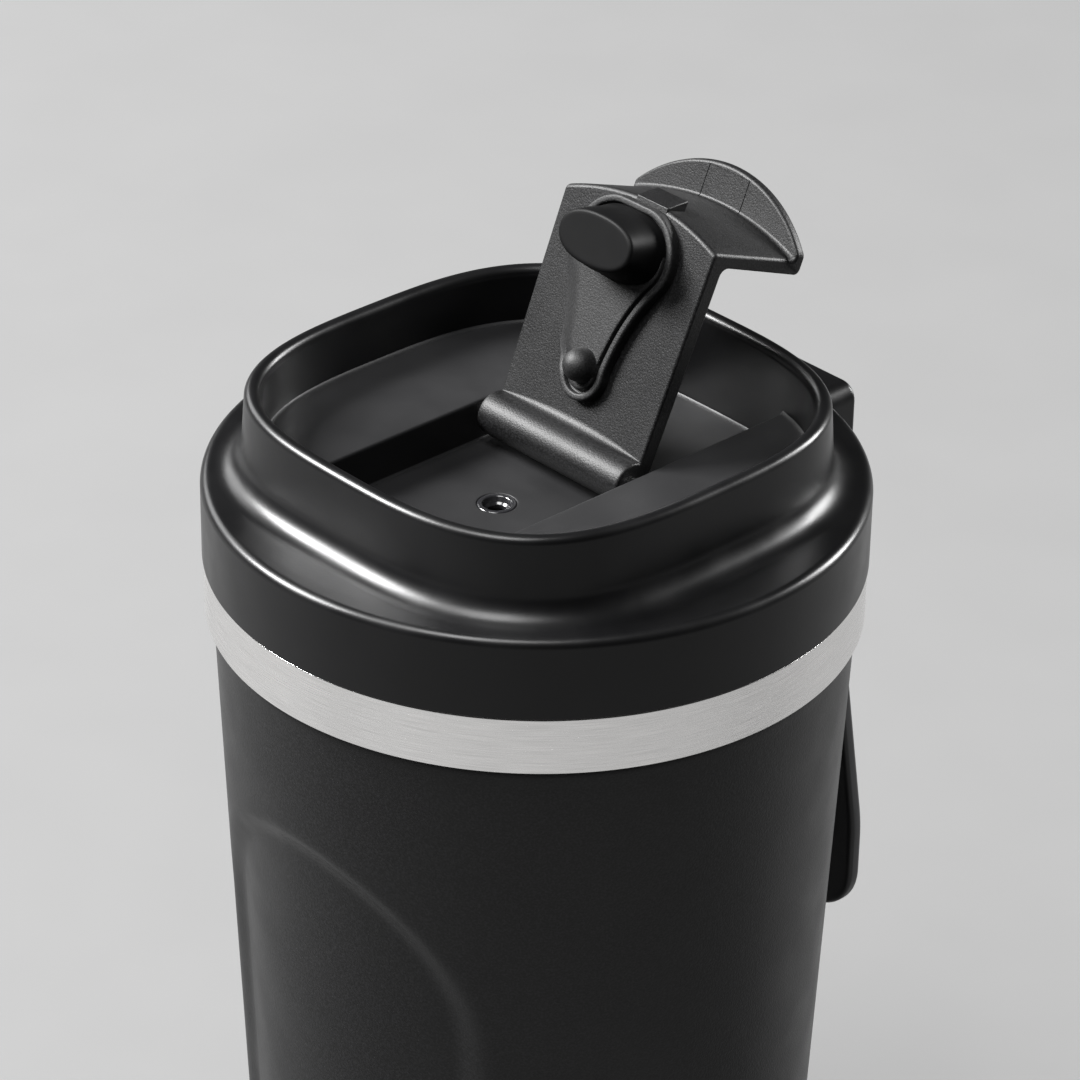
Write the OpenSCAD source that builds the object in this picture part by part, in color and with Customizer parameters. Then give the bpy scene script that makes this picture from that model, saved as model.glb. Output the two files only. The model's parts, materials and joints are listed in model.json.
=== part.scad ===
// Insulated travel mug: a double-wall steel cup with a steel collar, and a screw-on
// lid with a squircle rim, a flip lever that seals the drink opening, and a carry loop.
// Millimetres, +Z up. The origin is the middle of the foot's underside.
// The drinking side faces -Y and the carry loop hangs on the +Y side.
// The lever is drawn open, as it is stored: its joint closes it onto the lid.

/* [Body] */
// Height from the table to the underside of the steel collar
body_h = 140; // [130:1:160]
// Outside radius of the body at its base
base_r = 37.5; // [37:0.1:39]
// Outside radius of the body just under the collar
neck_r = 43.2; // [43:0.1:43.3]
// Thickness of each steel wall
wall = 0.6; // [0.5:0.1:0.8]

/* [Palm recess] */
// Half width of each palm recess, which is also the radius of its arched ends
recess_r = 26.4; // [20:0.2:28]
// Depth of each palm recess
recess_depth = 1.6; // [1:0.1:1.8]
// Height of the palm recess's lowest point above the table
recess_low = 24; // [18:1:36]
// Distance from the palm recess's highest point up to the collar
recess_drop = 20; // [14:1:30]

/* [Collar and lid] */
// Outside radius of the steel collar and of the lid's skirt
lid_r = 44.5; // [44.5:0.1:45]
// Height of the visible steel collar
collar_h = 8; // [7.5:0.5:8]
// Half width of the squircle rim's outside, measured across its flats
rim_a = 34.4; // [34:0.1:34.6]
// Thickness of the rim's wall
rim_t = 2.2; // [2:0.1:2.4]
// Height of the rim's top above the collar's underside
rim_top = 30.9; // [30:0.1:32]
// Height of the lid's shoulder above the collar's underside
shoulder = 19.6; // [19:0.1:20]
// Height of the channel floor above the collar's underside
floor_top = 16.8; // [16.5:0.1:17]
// Height of the two side benches above the collar's underside
bench_top = 22.7; // [22:0.1:23]
// Half width of the channel between the benches
channel_half = 14.6; // [14.6:0.1:15]

/* [Lever] */
// Angle between the closed lever and the stored, open lever
open_angle = 113.9; // [100:0.1:125]
// Distance of the lever's pivot behind the mug's axis
pivot_y = 4.5; // [4:0.1:5]
// Height of the lever's pivot above the collar's underside
pivot_up = 20.9; // [20.5:0.1:21.2]
// Radius of the lever's hinge barrel
barrel_r = 3.1; // [2.8:0.1:3.3]
// Thickness of the lever's plate
plate_t = 2.5; // [2:0.1:2.6]
// Reach of the lever's plate from the pivot, measured on its middle line
reach = 35.1; // [34:0.1:35.4]
// Height of the thumb lip's underside above the pivot when closed
lip_up = 14.7; // [13:0.1:16]

/* [Screw thread] */
// Rise of the lid for one full turn
pitch = 5; // [5:0.5:6]
// Turns of thread on the sleeve and in the neck ring
turns = 1.2; // [1:0.1:1.3]

/* [Carry loop] */
// Half width of the carry loop near its bottom
loop_half = 18.4; // [16:0.2:20]
// Distance of the loop's pin from the mug's axis
loop_y = 46.8; // [46.8:0.1:48]
// Height of the loop's pin above the collar's underside
loop_pin_up = 13; // [12.5:0.1:13.2]
// Depth of the loop's lowest point below the collar's underside
loop_drop = 65; // [55:1:80]
// Thickness of the loop's strap
loop_t = 2.2; // [1.8:0.1:2.4]

/* [Hidden] */
$fn = 96;
eps = 0.02;

collar_top = body_h + collar_h;
skirt_low = collar_top + 0.45;
shoulder_z = body_h + shoulder;
rim_z = body_h + rim_top;
floor_z = body_h + floor_top;
bench_z = body_h + bench_top;
deck_low = body_h + 14.8;
pivot_z = body_h + pivot_up;
loop_z = body_h + loop_pin_up;
lip_z = body_h + 10;            // top of the cup's drinking lip, under the lid
foot_r = base_r - 3;
foot_h = 2.2;
plate_r = base_r - 1.3;
liner_low = 9;
flange_z = lip_z + 2.3;
sleeve_r = 36.4;
sleeve_in = 33.6;
thread_r = 38.2;                // inside radius of the neck ring between its threads
neck_in = 39;                   // inside radius of the cup's mouth
pin_r = 1;
run_fit = 0.05;
rim_power = 3;                  // exponent of the squircle
rim_in = rim_a - rim_t;
drink_y = -24.1;
drink_r = 4.75;
drink_half = 2.6;
vent_y = -7.1;
vent_r = 1.3;
bush_r = 2.7;
bush_h = 1.6;
face_up = 0.15;                 // lever plate's sealing face above the pivot, closed
pad_t = 1.6;
plate_half = 14.2;
fold_r = 37.9;                  // radius of the lever's curved front wall
riser_t = 1.8;
lip_t = 1.6;
lip_r = 22.2;
lip_half = 15.6;
lip_reach = reach + 6.5;
bracket_half = 12.2;
bracket_y = 48.4;
bracket_low = body_h + 9.5;
bracket_top = body_h + 19.9;
knuckle_r = 1.9;
slot_half = 8;
strap_w = 6.5;

// Radius of a squircle of half width a in direction t
function squircle(a, t) =
    a / pow(pow(abs(cos(t)), rim_power) + pow(abs(sin(t)), rim_power), 1 / rim_power);

// Outline of a squircle of half width a
function squircle_points(a, steps = 72) =
    [for (i = [0 : steps - 1]) let (t = 360 * i / steps) squircle(a, t) * [cos(t), sin(t)]];

// Body wall's outside radius at height z
function body_r(z) = base_r + (neck_r - base_r) * (z - 3.3) / (body_h - 3.3);

// Raised thread of one start. Positive depth stands out, negative depth stands in.
module thread(root_r, depth, z0) {
    steps = round(turns * 36);
    in = depth > 0 ? root_r - 0.3 : root_r + 0.3;
    out = root_r + depth;
    section = [[in, -1.1], [out, -0.6], [out, 0.6], [in, 1.1]];
    pts = [for (i = [0 : steps]) for (p = section)
        [p.x * cos(10 * i), p.x * sin(10 * i), z0 + p.y + pitch * i / 36]];
    sides = [for (i = [0 : steps - 1]) for (j = [0 : 3])
        [4 * i + j, 4 * i + 4 + j, 4 * i + 4 + (j + 1) % 4, 4 * i + (j + 1) % 4]];
    ends = [[0, 1, 2, 3], [for (j = [3 : -1 : 0]) 4 * steps + j]];
    faces = concat(sides, ends);
    polyhedron(pts, depth < 0 ? faces : [for (f = faces) [for (k = [3 : -1 : 0]) f[k]]]);
}

// Rubber pad that the mug stands on
module foot_pad() {
    color("#1b1b1c")
    difference() {
        cylinder(r = foot_r, h = foot_h);
        translate([0, 0, -1])
        difference() {
            cylinder(r = foot_r - 4, h = 1.8);
            translate([0, 0, -1]) cylinder(r = foot_r - 6, h = 4);
        }
    }
}

// Steel disc that closes the outer shell
module base_plate() {
    color("#b9b9ba")
    translate([0, 0, foot_h])
    difference() {
        cylinder(r = plate_r, h = wall);
        translate([0, 0, -1]) cylinder(r = 3, h = 4);
    }
}

// Bead that closes the evacuation hole in the base plate
module vacuum_seal() {
    color("#d8d8d8") translate([0, 0, foot_h]) cylinder(r = 3, h = wall);
}

// Gas-absorbing pill inside the vacuum space
module getter() {
    color("#8c8c8c") translate([18, 0, foot_h + wall]) cylinder(r = 5, h = 2);
}

// Stadium with arched ends, seen along Y, that bounds each palm recess, grown by extra
module recess_outline(extra) {
    low = recess_low + recess_r;
    high = body_h - recess_drop - recess_r;
    for (z = [low, high]) translate([0, z]) circle(r = recess_r + extra);
    translate([-recess_r - extra, low]) square([2 * (recess_r + extra), high - low]);
}

// Wall material that each palm recess takes away from a tapered solid
module recess_cut(skin) {
    for (side = [0, 180])
    rotate([0, 0, side])
    intersection() {
        rotate([90, 0, 0]) linear_extrude(60) recess_outline(skin);
        rotate_extrude()
            polygon([
                [body_r(0) - recess_depth - skin, 0], [body_r(0) + 8, 0],
                [body_r(body_h) + 8, body_h], [body_r(body_h) - recess_depth - skin, body_h]
            ]);
    }
}

// Solid of the tapered body, drawn in by skin
module body_solid(skin, low) {
    rotate_extrude()
        polygon([
            [0, low], [base_r - 1.3 - skin * 0.4, low], [body_r(3.3) - skin, 3.3 + skin * 0.4],
            [neck_r - skin, body_h], [neck_r - skin, collar_top - wall], [0, collar_top - wall]
        ]);
}

// Powder-coated outer wall with a palm recess front and rear
module outer_shell() {
    color("#2c2c2e")
    difference() {
        body_solid(0, 2);
        difference() {
            body_solid(wall, 1.9);
            recess_cut(wall);
        }
        recess_cut(0);
        translate([0, 0, -1]) cylinder(r = plate_r, h = foot_h + wall + 1);
    }
}

// Steel cup that holds the drink, with the lip at its mouth
module inner_liner() {
    low_r = sleeve_in;
    step_r = 37.5;
    color("#c4c3c1")
    rotate_extrude()
        polygon([
            [0, liner_low], [low_r - 5, liner_low], [low_r - 1.2, liner_low + 1.8],
            [low_r + wall, liner_low + 6.5], [step_r + wall, body_h - 5],
            [neck_in + wall, body_h - 3], [neck_in + wall, lip_z - wall],
            [neck_in + 2.2, lip_z - wall], [neck_in + 2.2, lip_z], [neck_in, lip_z],
            [neck_in, body_h - 2.7], [step_r, body_h - 4.7], [low_r, liner_low + 6.8],
            [low_r - 1.8, liner_low + 2.5], [low_r - 5.2, liner_low + wall], [0, liner_low + wall]
        ]);
}

// Bare brushed steel ring between the body and the lid
module steel_collar() {
    color("#cfcdca")
    rotate_extrude()
        polygon([
            [neck_r, body_h], [lid_r - 0.3, body_h], [lid_r, body_h + 0.3],
            [lid_r, collar_top - 0.3], [lid_r - 0.3, collar_top], [neck_in + wall, collar_top],
            [neck_in + wall, collar_top - wall], [neck_r, collar_top - wall]
        ]);
}

// Threaded ring in the cup's mouth that the lid screws into
module neck_ring() {
    color("#3a3a3c")
    union() {
        rotate_extrude()
            translate([thread_r, body_h - 1.5]) square([neck_in - thread_r, 10.5]);
        thread(thread_r, -1.4, body_h + 0.2);
    }
}

// Silicone ring between the lid's flange and the cup's lip
module lid_gasket() {
    color("#5c5c5e")
    rotate_extrude()
        translate([sleeve_r + 0.4, lip_z + 0.3]) square([4.2, flange_z - lip_z - 0.6]);
}

// Lid cover: round skirt, shoulder, and a squircle rim that flares out of it.
// Each section point is [squircle share, circle radius, squircle half width, height].
module lid_shell() {
    steps = 72;
    edge = 1.3;                 // rounding of the skirt's top edge
    flare = 3.6;                // radius of the hollow between shoulder and rim
    lip = rim_t / 2;            // rounding of the rim's top
    root_a = rim_a + 0.4;       // the rim's wall leans in a little towards its top
    low_a = rim_a - 0.3;
    skirt_in = lid_r - 2.2;
    section = concat(
        [[0, lid_r, 0, skirt_low]],
        [for (t = [0 : 30 : 90]) [0, lid_r - edge * (1 - cos(t)), 0, shoulder_z - edge * (1 - sin(t))]],
        [for (t = [0 : 15 : 90]) [1, flare * (1 - sin(t)), root_a, shoulder_z + flare * (1 - cos(t))]],
        [for (t = [0 : 30 : 180]) [1, lip * cos(t) - lip, rim_a, rim_z - lip * (1 - sin(t))]],
        [[1, 0, rim_in, deck_low], [1, 0, low_a, deck_low], [1, 0, low_a, deck_low + 2.4]],
        [[0, skirt_in, 0, deck_low + 2.4], [0, skirt_in, 0, skirt_low]]
    );
    n = len(section);
    pts = [for (s = section) for (i = [0 : steps - 1]) let (t = 360 * i / steps)
        let (r = s[1] + s[0] * squircle(s[2], t)) [r * cos(t), r * sin(t), s[3]]];
    quads = [for (k = [0 : n - 1]) for (i = [0 : steps - 1])
        let (a = k * steps, b = ((k + 1) % n) * steps, j = (i + 1) % steps)
        [a + i, b + i, b + j, a + j]];
    color("#232325") polyhedron(pts, quads, convexity = 6);
}

// Bowl of the lid: a channel between two benches, with the drink opening and the vent
module lid_deck() {
    color("#29292b")
    difference() {
        translate([0, 0, deck_low])
            linear_extrude(bench_z - deck_low) polygon(squircle_points(rim_in - 0.05));
        translate([-channel_half, -60, floor_z]) cube([2 * channel_half, 120, 20]);
        bench_hollows();
        translate([0, drink_y, deck_low - 1]) linear_extrude(10) drink_outline(0);
        translate([0, vent_y, deck_low - 1]) cylinder(r = vent_r, h = 10);
        translate([0, vent_y, floor_z - bush_h]) cylinder(r = bush_r, h = 10);
        translate([0, pivot_y, pivot_z]) rotate([0, 90, 0]) cylinder(r = pin_r, h = 35, center = true);
    }
}

// Hollows under the benches, which leave a block around each end of the hinge pin
module bench_hollows() {
    for (side = [-1, 1])
    for (ahead = [0, 1])
    intersection() {
        translate([0, 0, deck_low - 1])
            linear_extrude(bench_z - deck_low - 1) polygon(squircle_points(rim_in - 2.1));
        translate([side > 0 ? channel_half + 2 : -60, ahead > 0 ? pivot_y + 4 : -60, deck_low - 2])
            cube([60 - channel_half - 2, ahead > 0 ? 60 : 60 + pivot_y - 4, 30]);
    }
}

// Oval of the drink opening, grown by extra
module drink_outline(extra) {
    for (side = [-1, 1])
        translate([side * drink_half, 0]) circle(r = drink_r + extra);
    translate([-drink_half, -drink_r - extra]) square([2 * drink_half, 2 * (drink_r + extra)]);
}

// Threaded sleeve under the lid, with the flange that presses the gasket
module lid_sleeve() {
    color("#2a2a2c")
    union() {
        rotate_extrude()
            polygon([
                [sleeve_in, body_h - 3], [sleeve_r - 0.6, body_h - 3], [sleeve_r, body_h - 2.4],
                [sleeve_r, flange_z], [lid_r - 2.6, flange_z], [lid_r - 2.6, deck_low],
                [sleeve_in, deck_low]
            ]);
        thread(sleeve_r, 1.5, body_h + 0.2 + pitch / 2);
    }
}

// Glossy countersunk seat in the vent hole
module vent_bush() {
    color("#121213")
    translate([0, vent_y, floor_z - bush_h])
    rotate_extrude()
        polygon([[vent_r, 0], [bush_r, 0], [bush_r, bush_h], [bush_r - 0.3, bush_h], [vent_r, 0.5]]);
}

// Steel pin that the lever turns on
module hinge_pin() {
    color("#bdbdbd")
    translate([0, pivot_y, pivot_z]) rotate([0, 90, 0]) cylinder(r = pin_r, h = 34.6, center = true);
}

// Places a piece drawn on the closed lever, with the pivot at 0, in the stored pose
module on_open_lever() {
    translate([0, pivot_y, pivot_z]) rotate([-open_angle, 0, 0]) children();
}

// Circle that the lever's front wall follows, at radius r
module fold_circle(r) {
    translate([0, fold_r - reach]) circle(r = r);
}

// Flip lever: hinge barrel, plate, curved front wall, thumb lip and snap catch
module flip_lever() {
    color("#262628")
    on_open_lever()
    difference() {
        union() {
            rotate([0, 90, 0]) cylinder(r = barrel_r, h = 27.4, center = true);
            translate([0, 0, face_up]) linear_extrude(plate_t) intersection() {
                polygon([[-13.6, 0], [13.6, 0], [plate_half, -40], [-plate_half, -40]]);
                fold_circle(fold_r);
            }
            translate([0, 0, face_up]) linear_extrude(lip_up + lip_t - face_up) difference() {
                intersection() {
                    fold_circle(fold_r);
                    translate([-plate_half, -40]) square([2 * plate_half, 20]);
                }
                fold_circle(fold_r - riser_t);
            }
            translate([0, 0, lip_up]) linear_extrude(lip_t) difference() {
                intersection() {
                    translate([0, lip_r - lip_reach]) circle(r = lip_r);
                    translate([-lip_half, -50]) square([2 * lip_half, 30]);
                }
                fold_circle(fold_r - riser_t);
            }
            translate([-2.8, 0, 0]) rotate([90, 0, 90]) linear_extrude(5.6)
                polygon([[-reach + 0.8, 1], [-reach - 1.2, 1], [-reach + 0.8, 4]]);
        }
        rotate([0, 90, 0]) cylinder(r = pin_r + run_fit, h = 40, center = true);
    }
}

// Silicone pad on the lever, with the dome that closes the vent
module seal_pad() {
    big_y = -27.9;
    small_y = -10.8;
    color("#303032")
    on_open_lever()
    union() {
        translate([0, 0, face_up - pad_t]) linear_extrude(pad_t) {
            for (side = [-1, 1]) translate([2.1 * side, big_y]) circle(r = 6.6);
            translate([-2.1, big_y - 6.6]) square([4.2, 13.2]);
            translate([0, small_y]) circle(r = 3.5);
            polygon([[-7.6, -24.4], [-3.5, -13.4], [-3.5, small_y], [3.5, small_y], [3.5, -13.4], [7.6, -24.4]]);
        }
        translate([0, vent_y - pivot_y, face_up - pad_t]) intersection() {
            sphere(r = bush_r + eps);
            translate([0, 0, -5]) cylinder(r = bush_r, h = 5.5);
        }
    }
}

// Silicone plug that closes the drink opening
module drink_plug() {
    color("#3b3b3d")
    on_open_lever()
    hull()
    for (side = [-1, 1]) {
        translate([2.4 * side, drink_y - pivot_y, face_up - pad_t - 0.4])
            cylinder(r = 4.7, h = 0.4, $fn = 32);
        translate([2.9 * side, drink_y - pivot_y, -7.2]) cylinder(r = 3.5, h = 0.4, $fn = 32);
    }
}

// Bracket behind the lid's skirt that carries the loop's pin
module loop_bracket() {
    round_r = 2.5;
    color("#28282a")
    difference() {
        union() {
            translate([-bracket_half, 41, bracket_low])
                cube([2 * bracket_half, bracket_y - 41, bracket_top - round_r - bracket_low]);
            translate([round_r - bracket_half, 41, bracket_low])
                cube([2 * (bracket_half - round_r), bracket_y - 41, bracket_top - bracket_low]);
            for (side = [-1, 1])
                translate([side * (bracket_half - round_r), 41, bracket_top - round_r])
                rotate([-90, 0, 0]) cylinder(r = round_r, h = bracket_y - 41);
        }
        translate([0, 0, bracket_low - 1]) cylinder(r = lid_r + eps, h = 30);
        translate([-slot_half, 40, bracket_low - 1]) cube([2 * slot_half, 20, 7.7]);
        translate([0, loop_y, loop_z]) rotate([0, 90, 0]) cylinder(r = pin_r, h = 60, center = true);
    }
}

// Steel pin of the carry loop
module loop_pin() {
    color("#bdbdbd")
    translate([0, loop_y, loop_z]) rotate([0, 90, 0])
        cylinder(r = pin_r, h = 2 * bracket_half - 0.6, center = true);
}

// Outline of the loop, drawn in by inset, with the pin at 0
module loop_outline(inset, top) {
    end_r = 10.5 - inset;
    low = -loop_drop - loop_pin_up + 10.5;
    for (side = [-1, 1])
        translate([side * (loop_half - 10.5), low]) circle(r = end_r);
    polygon([
        [-7.2 - (loop_half - 7.2) * top / low + inset, top], [-loop_half + inset, low],
        [10.5 - loop_half, low - end_r], [loop_half - 10.5, low - end_r],
        [loop_half - inset, low], [7.2 + (loop_half - 7.2) * top / low - inset, top]
    ]);
}

// Flexible carry loop with a knuckle that turns on the pin
module carry_loop() {
    color("#1f1f20")
    translate([0, loop_y, loop_z])
    difference() {
        union() {
            rotate([0, 90, 0]) cylinder(r = knuckle_r, h = 2 * slot_half - 0.8, center = true);
            translate([0, loop_t / 2, 0]) rotate([90, 0, 0]) linear_extrude(loop_t)
            difference() {
                loop_outline(0, 0);
                loop_outline(strap_w, -22);
            }
        }
        rotate([0, 90, 0]) cylinder(r = pin_r + run_fit, h = 60, center = true);
    }
}

foot_pad();
base_plate();
vacuum_seal();
getter();
outer_shell();
inner_liner();
steel_collar();
neck_ring();
lid_gasket();
lid_shell();
lid_deck();
lid_sleeve();
vent_bush();
hinge_pin();
flip_lever();
seal_pad();
drink_plug();
loop_bracket();
loop_pin();
carry_loop();
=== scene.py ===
"""Looks of the insulated travel mug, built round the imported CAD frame.

Sizes are in millimetres, and make_object() turns them into metres. The mug stands on z = 0, the
drinking side faces -Y and the carry loop hangs on the +Y side. Places come from the frame's boxes
and joints.
"""
import json
import math

import bmesh
import bpy
from mathutils import Matrix, Quaternion, Vector


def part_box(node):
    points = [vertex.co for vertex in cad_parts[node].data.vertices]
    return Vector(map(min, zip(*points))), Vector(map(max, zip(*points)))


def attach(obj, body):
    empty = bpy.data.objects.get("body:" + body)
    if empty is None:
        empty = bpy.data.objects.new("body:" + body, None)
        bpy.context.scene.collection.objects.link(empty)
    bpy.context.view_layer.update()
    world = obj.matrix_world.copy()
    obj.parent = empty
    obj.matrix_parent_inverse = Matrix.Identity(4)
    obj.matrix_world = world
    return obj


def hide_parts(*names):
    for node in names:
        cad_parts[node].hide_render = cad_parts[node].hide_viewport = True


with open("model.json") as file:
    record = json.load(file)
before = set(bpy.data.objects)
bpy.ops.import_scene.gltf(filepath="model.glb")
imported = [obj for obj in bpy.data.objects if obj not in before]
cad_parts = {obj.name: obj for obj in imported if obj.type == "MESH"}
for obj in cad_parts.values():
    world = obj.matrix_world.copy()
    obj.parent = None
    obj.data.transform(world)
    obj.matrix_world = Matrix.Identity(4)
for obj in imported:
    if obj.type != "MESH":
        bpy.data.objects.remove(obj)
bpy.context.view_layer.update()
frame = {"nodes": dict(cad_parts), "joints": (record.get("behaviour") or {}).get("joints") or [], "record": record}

MM = 0.001


# ---------------------------------------------------------------- places from the frame

def box_mm(node):
    """Lowest and highest corner of a CAD node, in millimetres."""
    low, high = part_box(node)
    return low / MM, high / MM


def joint(name):
    """One joint's row from the frame."""
    return next(j for j in frame["joints"] if j["name"] == name)


COLLAR_LOW, COLLAR_HIGH = box_mm("steel_collar")
DECK_LOW, DECK_HIGH = box_mm("lid_deck")
BUSH_LOW, BUSH_HIGH = box_mm("vent_bush")
BRACKET_LOW, BRACKET_HIGH = box_mm("loop_bracket")
LOOP_LOW, LOOP_HIGH = box_mm("carry_loop")
FOOT_HIGH = box_mm("foot_pad")[1]
SHELL_LOW = box_mm("outer_shell")[0]
PIVOT = Vector(joint("lever_flip")["pos_m"]) / MM
OPEN_ANGLE = math.radians(-joint("lever_flip")["range_deg"][0])
LOOP_PIN = Vector(joint("loop_swing")["pos_m"]) / MM

COLLAR_Z = COLLAR_LOW.z
COLLAR_TOP = COLLAR_HIGH.z
LID_R = COLLAR_HIGH.x           # radius of the lid's skirt
NECK_R = 43.2                   # radius of the body just under the collar
BASE_R = 37.5                   # radius of the body where its taper starts
BASE_EDGE_Z = 3.3               # height where its taper starts
WALL = 0.6                      # thickness of the steel wall
RIM_A = 34.4                    # half width of the squircle rim's outside
RIM_T = 2.2                     # thickness of the rim and of the skirt
RIM_Z = box_mm("lid_shell")[1].z
RIM_POWER = 3                   # how square the squircle is: 2 is a circle
SHOULDER_Z = COLLAR_Z + 19.6
FLOOR_Z = BUSH_HIGH.z
BENCH_Z = DECK_HIGH.z
DECK_A = RIM_A - RIM_T + 0.15   # half width of the deck, which reaches into the rim's wall
CHANNEL_HALF = 14.6             # half width of the channel between the benches
DRINK_Y = -24.1                 # middle of the drink opening
DRINK_HALF = 2.6                # half length of the opening's straight sides
DRINK_R = 4.75                  # radius of the opening's two ends
VENT_Y = (BUSH_LOW.y + BUSH_HIGH.y) / 2


# ---------------------------------------------------------------- outlines

def full_turn(steps):
    """Angles of that many equal steps round a circle."""
    return [2 * math.pi * i / steps for i in range(steps)]


def arc(cx, cy, r, start, end, steps):
    """Points on an arc from start to end, in degrees."""
    angles = [math.radians(start + (end - start) * i / steps) for i in range(steps + 1)]
    return [(cx + r * math.cos(a), cy + r * math.sin(a)) for a in angles]


def rounded(corners, steps=5):
    """Closed outline through (x, y, radius) corners, each rounded to its radius."""
    points = []
    for i, (x, y, r) in enumerate(corners):
        here = Vector((x, y))
        back = Vector(corners[i - 1][:2]) - here
        ahead = Vector(corners[(i + 1) % len(corners)][:2]) - here
        half = back.angle(ahead) / 2
        reach = min(r / math.tan(half), back.length * 0.49, ahead.length * 0.49)
        r = reach * math.tan(half)
        centre = here + (back.normalized() + ahead.normalized()).normalized() * (r / math.sin(half))
        first = here + back.normalized() * reach - centre
        last = here + ahead.normalized() * reach - centre
        turn = math.atan2(first.x * last.y - first.y * last.x, first.dot(last))
        start = math.atan2(first.y, first.x)
        for k in range(steps + 1):
            a = start + turn * k / steps
            points.append((centre.x + r * math.cos(a), centre.y + r * math.sin(a)))
    return points


def inset(outline, depth):
    """Closed outline moved towards its left-hand side by depth."""
    if depth == 0:
        return outline
    moved = []
    count = len(outline)
    for i in range(count):
        before, here, after = (Vector(outline[(i + k) % count]) for k in (-1, 0, 1))
        a = (here - before).normalized()
        b = (after - here).normalized()
        along = (a + b).normalized()
        side = Vector((-along.y, along.x))
        stretch = 1 / max(0.5, along.dot(a))
        moved.append(tuple(here + side * depth * stretch))
    return moved


def squircle(a, t):
    """Radius in direction t of a squircle with half width a."""
    return a / (abs(math.cos(t)) ** RIM_POWER + abs(math.sin(t)) ** RIM_POWER) ** (1 / RIM_POWER)


def squircle_point(a, t, z):
    """Point at height z, in direction t, on a squircle with half width a."""
    r = squircle(a, t)
    return (r * math.cos(t), r * math.sin(t), z)


def squircle_y(a, x):
    """Half depth at x of a squircle with half width a."""
    return (a ** RIM_POWER - abs(x) ** RIM_POWER) ** (1 / RIM_POWER)


def smoothstep(x):
    """0 below 0, 1 above 1, and a smooth ramp between."""
    x = min(1, max(0, x))
    return x * x * (3 - 2 * x)


def quarter(radius, steps=4):
    """(distance from a wall, rise up it) along a quarter-round corner, from the wall outwards."""
    angles = [math.pi / 2 * i / steps for i in range(steps + 1)]
    return [(radius * (1 - math.cos(a)), radius * (1 - math.sin(a))) for a in angles]


def round_over(radius):
    """Distances (from one side, from the other) along the rounded edge between two sides."""
    angles = [math.radians(a) for a in (0, 22, 45, 68, 90)]
    return [(radius * (1 - math.sin(a)), radius * (1 - math.cos(a))) for a in angles]


# ---------------------------------------------------------------- meshes

def skin(rings, wrap=False, cap=False):
    """Vertices and faces that join closed rings of the same length, one after the other."""
    n = len(rings[0])
    verts = [p for ring in rings for p in ring]
    faces = []
    for k in range(len(rings) if wrap else len(rings) - 1):
        a = k * n
        b = (k + 1) % len(rings) * n
        faces += [(a + i, a + (i + 1) % n, b + (i + 1) % n, b + i) for i in range(n)]
    if cap:
        faces.append(tuple(range(n)))
        faces.append(tuple(range(len(verts) - n, len(verts))))
    return verts, faces


def lathe(profile, steps=240):
    """A closed profile of (radius, z) turned round the Z axis."""
    rings = [[(r * math.cos(a), r * math.sin(a), z) for a in full_turn(steps)] for r, z in profile]
    return skin(rings, wrap=True)


def merged(*parts):
    """Several (vertices, faces) as one."""
    verts = []
    faces = []
    for v, f in parts:
        base = len(verts)
        verts += v
        faces += [tuple(i + base for i in face) for face in f]
    return verts, faces


def make_object(name, part, sharp=32, open_levels=()):
    """An object from (vertices, faces). Holes left open at one of open_levels in z are filled flat."""
    verts, faces = part
    bm = bmesh.new()
    made = [bm.verts.new(Vector(v) * MM) for v in verts]
    for face in faces:
        bm.faces.new([made[i] for i in face])
    bmesh.ops.remove_doubles(bm, verts=bm.verts, dist=1e-7)
    bmesh.ops.dissolve_degenerate(bm, edges=bm.edges, dist=1e-8)
    for level in open_levels:
        rims = [e for e in bm.edges if e.is_boundary
                and all(abs(v.co.z / MM - level) < 1e-3 for v in e.verts)]
        bmesh.ops.triangle_fill(bm, edges=rims, use_beauty=True)
    bmesh.ops.recalc_face_normals(bm, faces=bm.faces)
    if bm.calc_volume(signed=True) < 0:
        bmesh.ops.reverse_faces(bm, faces=bm.faces)
    mesh = bpy.data.meshes.new(name)
    bm.to_mesh(mesh)
    bm.free()
    obj = bpy.data.objects.new(name, mesh)
    bpy.context.scene.collection.objects.link(obj)
    smooth(obj, sharp)
    return obj


def smooth(obj, sharp):
    """Smooth shading, with edges sharper than that many degrees left crisp."""
    obj.data.shade_smooth()
    obj.data.set_sharp_from_angle(angle=math.radians(sharp))


def combine(obj, other, operation, sharp=32):
    """Unites other with obj, or cuts it away, and removes other."""
    step = obj.modifiers.new(operation.lower(), "BOOLEAN")
    step.operation = operation
    step.object = other
    step.solver = "EXACT"
    step.use_self = True
    bpy.context.view_layer.update()
    evaluated = obj.evaluated_get(bpy.context.evaluated_depsgraph_get())
    solid = bpy.data.meshes.new_from_object(evaluated)
    obj.modifiers.clear()
    obj.data = solid
    bpy.data.objects.remove(other)
    smooth(obj, sharp)


def place(obj, body, slot, *nodes, tilt=None):
    """Gives a piece its place, finish and body, and hides the CAD nodes that it stands for."""
    if tilt is not None:
        obj.data.transform(tilt)
    keep_flat = obj.modifiers.new("flat_faces", "WEIGHTED_NORMAL")
    keep_flat.keep_sharp = True
    obj.data.materials.clear()
    obj.data.materials.append(MATERIALS[slot])
    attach(obj, body)
    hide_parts(*nodes)
    return obj


# ---------------------------------------------------------------- materials

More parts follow.
